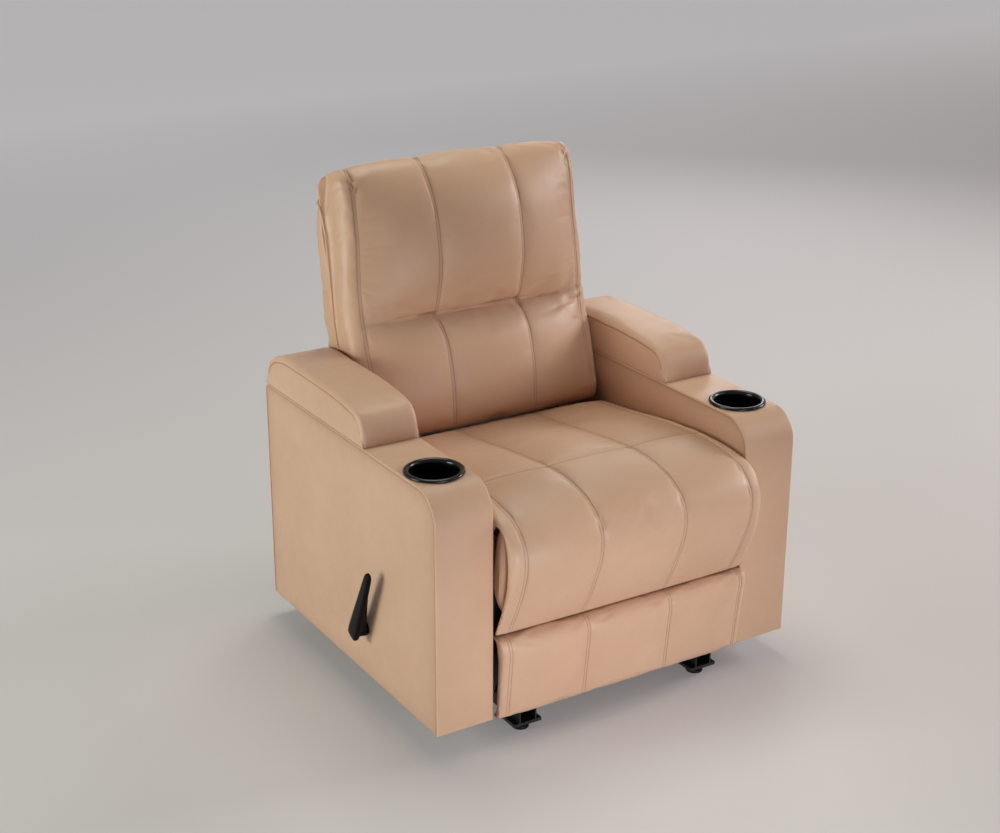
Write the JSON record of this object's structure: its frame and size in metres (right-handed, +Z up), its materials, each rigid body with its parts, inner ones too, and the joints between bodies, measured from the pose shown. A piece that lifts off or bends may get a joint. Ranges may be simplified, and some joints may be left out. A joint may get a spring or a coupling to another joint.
{
  "type": "cinema recliner seat",
  "caption": "Leather cinema recliner with box arms, cup holders, pull lever, tilting back and folding legrest on a gliding base.",
  "frame": {"origin": "on the floor, at the middle of the seat's footprint", "axes": "+Z up; the sitter faces -Y; +X at the sitter's left; the lever is on the -X side"},
  "size_m": [0.896, 0.8154, 1.0296],
  "materials": {
    "leather": "semi-matt tan leather with a fine grain",
    "foam": "open-cell cushion foam",
    "gloss_black": "glossy black moulding",
    "black_steel": "black powder coat",
    "zinc_steel": "zinc-plated spring steel",
    "black_plastic": "matt black moulding",
    "hardwood": "planed hardwood",
    "plywood": "plywood",
    "apron_cloth": "black lining cloth over board"
  },
  "bodies": {
    "base": {"base_rail_left": "black_steel", "base_rail_right": "black_steel", "base_front_bar": "black_steel", "base_rear_bar": "black_steel", "glide_front_left": "black_plastic", "glide_front_right": "black_plastic", "glide_rear_left": "black_plastic", "glide_rear_right": "black_plastic"},
    "carriage": {"side_plate_left": "black_steel", "side_plate_right": "black_steel", "front_cross_tube": "black_steel", "rear_cross_tube": "black_steel", "rear_apron": "apron_cloth", "arm_cover_left": "leather", "arm_cover_right": "leather", "arm_outer_board_left": "plywood", "arm_outer_board_right": "plywood", "arm_inner_board_left": "plywood", "arm_inner_board_right": "plywood", "arm_top_board_left": "plywood", "arm_top_board_right": "plywood", "arm_pad_left": "leather", "arm_pad_right": "leather", "cup_holder_left": "gloss_black", "cup_holder_right": "gloss_black", "seat_cushion": "leather", "seat_core": "foam", "seat_side_rail_left": "hardwood", "seat_side_rail_right": "hardwood", "seat_front_rail": "hardwood", "seat_rear_rail": "hardwood", "seat_spring_1": "zinc_steel", "seat_spring_2": "zinc_steel", "seat_spring_3": "zinc_steel", "legrest_spring_left": "zinc_steel", "legrest_spring_right": "zinc_steel"},
    "back": {"head_cushion": "leather", "lumbar_cushion": "leather", "back_panel": "leather", "back_post_left": "hardwood", "back_post_right": "hardwood", "back_top_rail": "hardwood", "back_bottom_rail": "hardwood", "back_bracket_left": "black_steel", "back_bracket_right": "black_steel", "back_spring_1": "zinc_steel", "back_spring_2": "zinc_steel"},
    "lever": {"lever_handle": "gloss_black", "lever_shaft": "zinc_steel", "lever_crank": "black_steel"},
    "rear_links": {"rear_link_left": "black_steel", "rear_link_right": "black_steel"},
    "control_links": {"control_link_left": "black_steel", "control_link_right": "black_steel"},
    "front_links": {"front_link_left": "black_steel", "front_link_right": "black_steel"},
    "legrest": {"legrest_pad": "leather", "legrest_board": "plywood", "legrest_bracket_left": "black_steel", "legrest_bracket_right": "black_steel"}
  },
  "joints": [
    {"name": "seat_glide", "type": "slide", "parent": "base", "child": "carriage", "axis": [0, -1, 0], "range_m": [0, 0.08]},
    {"name": "back_recline", "type": "hinge", "parent": "carriage", "child": "back", "pos_m": [0.018, 0.23775, 0.34], "axis": [-1, 0, 0], "range_deg": [0, 28.1]},
    {"name": "lever_pull", "type": "hinge", "parent": "carriage", "child": "lever", "pos_m": [-0.412, -0.04425, 0.165], "axis": [-1, 0, 0], "range_deg": [0, 32], "stiffness_Nm_per_rad": 1.5, "springref_deg": -11.46},
    {"name": "legrest_swing", "type": "hinge", "parent": "carriage", "child": "rear_links", "pos_m": [0.018, -0.14225, 0.205], "axis": [-1, 0, 0], "range_deg": [0, 110.7]},
    {"name": "legrest_control", "type": "hinge", "parent": "carriage", "child": "control_links", "pos_m": [0.018, -0.14825, 0.234], "axis": [-1, 0, 0], "range_deg": [0, 114.1], "deforming": ["legrest_spring_left", "legrest_spring_right"]},
    {"name": "legrest_fold", "type": "hinge", "parent": "rear_links", "child": "front_links", "pos_m": [0.018, -0.04545, 0.06525], "axis": [-1, 0, 0], "range_deg": [-92.6, 0]},
    {"name": "legrest_tilt", "type": "hinge", "parent": "front_links", "child": "legrest", "pos_m": [0.018, -0.30725, 0.19], "axis": [-1, 0, 0], "range_deg": [0, 71.9]}
  ],
  "couplings": [
    {"joint": "back_recline", "follows": "seat_glide", "rad_per_m": 6.1087},
    {"joint": "legrest_control", "follows": "legrest_swing", "ratio": 1.03},
    {"joint": "legrest_fold", "follows": "legrest_swing", "ratio": -0.8356},
    {"joint": "legrest_tilt", "follows": "legrest_swing", "ratio": 0.6486}
  ]
}
